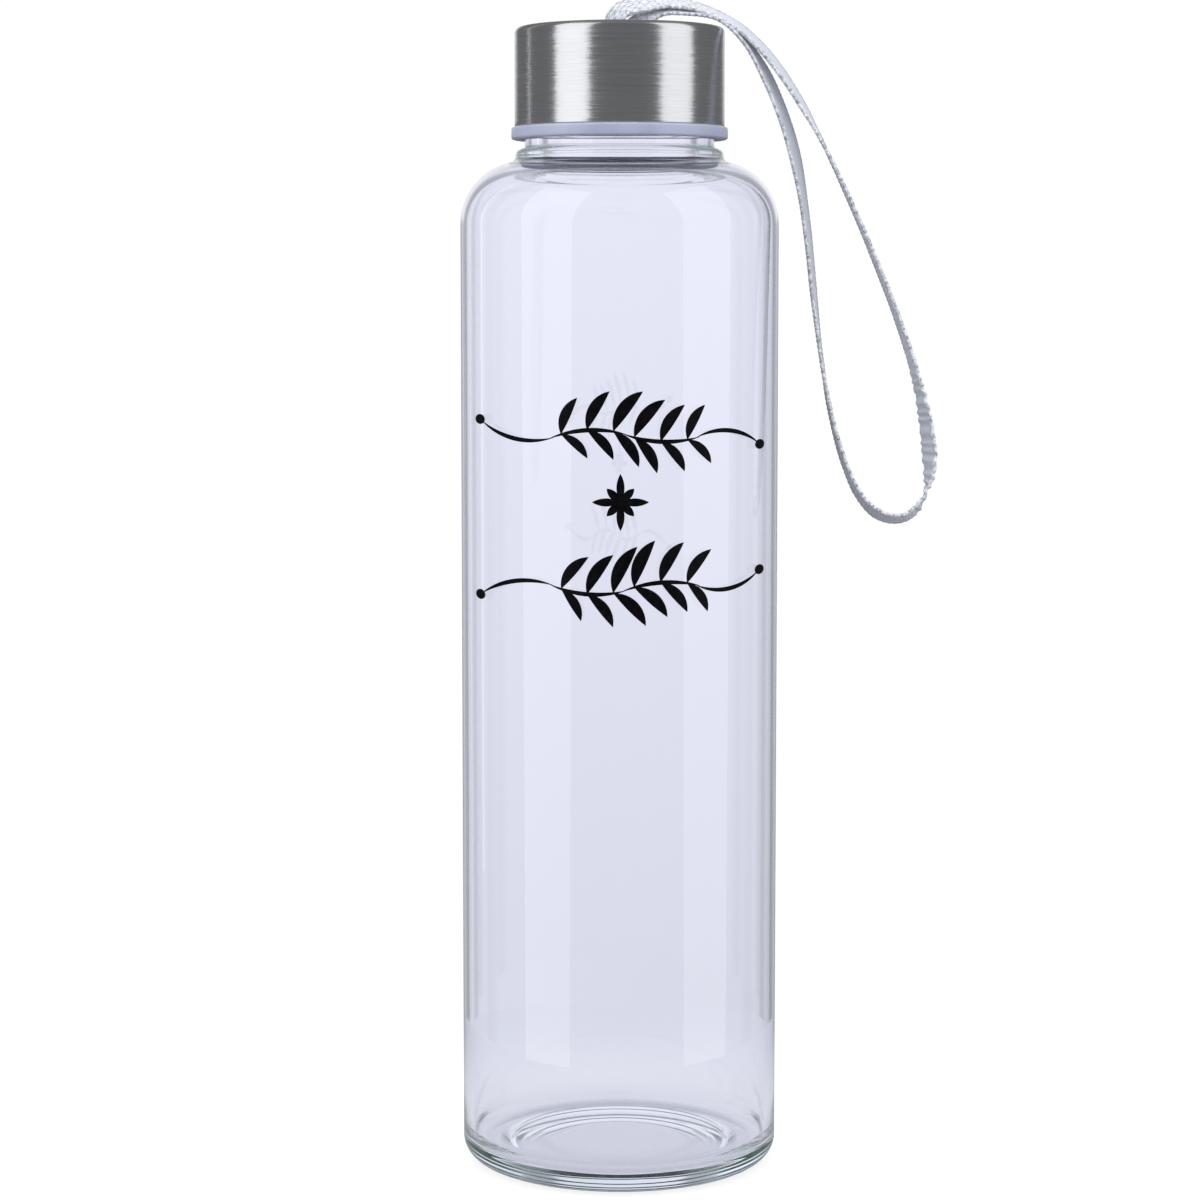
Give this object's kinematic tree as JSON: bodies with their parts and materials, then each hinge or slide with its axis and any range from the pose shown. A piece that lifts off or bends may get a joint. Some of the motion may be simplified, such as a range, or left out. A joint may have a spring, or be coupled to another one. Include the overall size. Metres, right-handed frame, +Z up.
{
  "type": "glass water bottle",
  "caption": "Straight glass water bottle with a rounded shoulder, a screw-on steel cap over a threaded plastic liner, a seal, a printed ornament and a ribbon strap on the cap.",
  "frame": {"origin": "centre of the plane that the bottle stands on", "axes": "+Z up along the bottle's axis, -Y towards the printed front, +X towards the side where the strap hangs"},
  "size_m": [0.0976, 0.0651, 0.2397],
  "materials": {
    "glass": "clear, polished",
    "ink": "fired black print",
    "silicone": "soft, translucent",
    "liner_plastic": "milky, slightly translucent",
    "steel": "brushed round the cap",
    "ribbon": "silver-grey satin weave"
  },
  "bodies": {
    "bottle": {"glass_body": "glass", "print_upper": "ink", "print_middle": "ink", "print_lower": "ink"},
    "seal": {"cap_seal": "silicone"},
    "cap": {"cap_liner": "liner_plastic", "cap_shell": "steel"},
    "strap": {"strap": "ribbon", "strap_knot": "ribbon"}
  },
  "joints": [
    {"name": "cap_lift", "type": "slide", "parent": "bottle", "child": "seal", "axis": [0, 0, 1], "range_m": [0, 0.0221]},
    {"name": "cap_turn", "type": "hinge", "parent": "seal", "child": "cap", "pos_m": [0, 0, 0.2254], "axis": [0, 0, 1], "range_deg": [0, 1890]},
    {"name": "strap_swivel", "type": "hinge", "parent": "cap", "child": "strap", "pos_m": [0, 0, 0.2334], "axis": [0, 0, 1], "continuous": true}
  ],
  "couplings": [
    {"joint": "cap_lift", "follows": "cap_turn", "m_per_rad": 0.00066845}
  ]
}
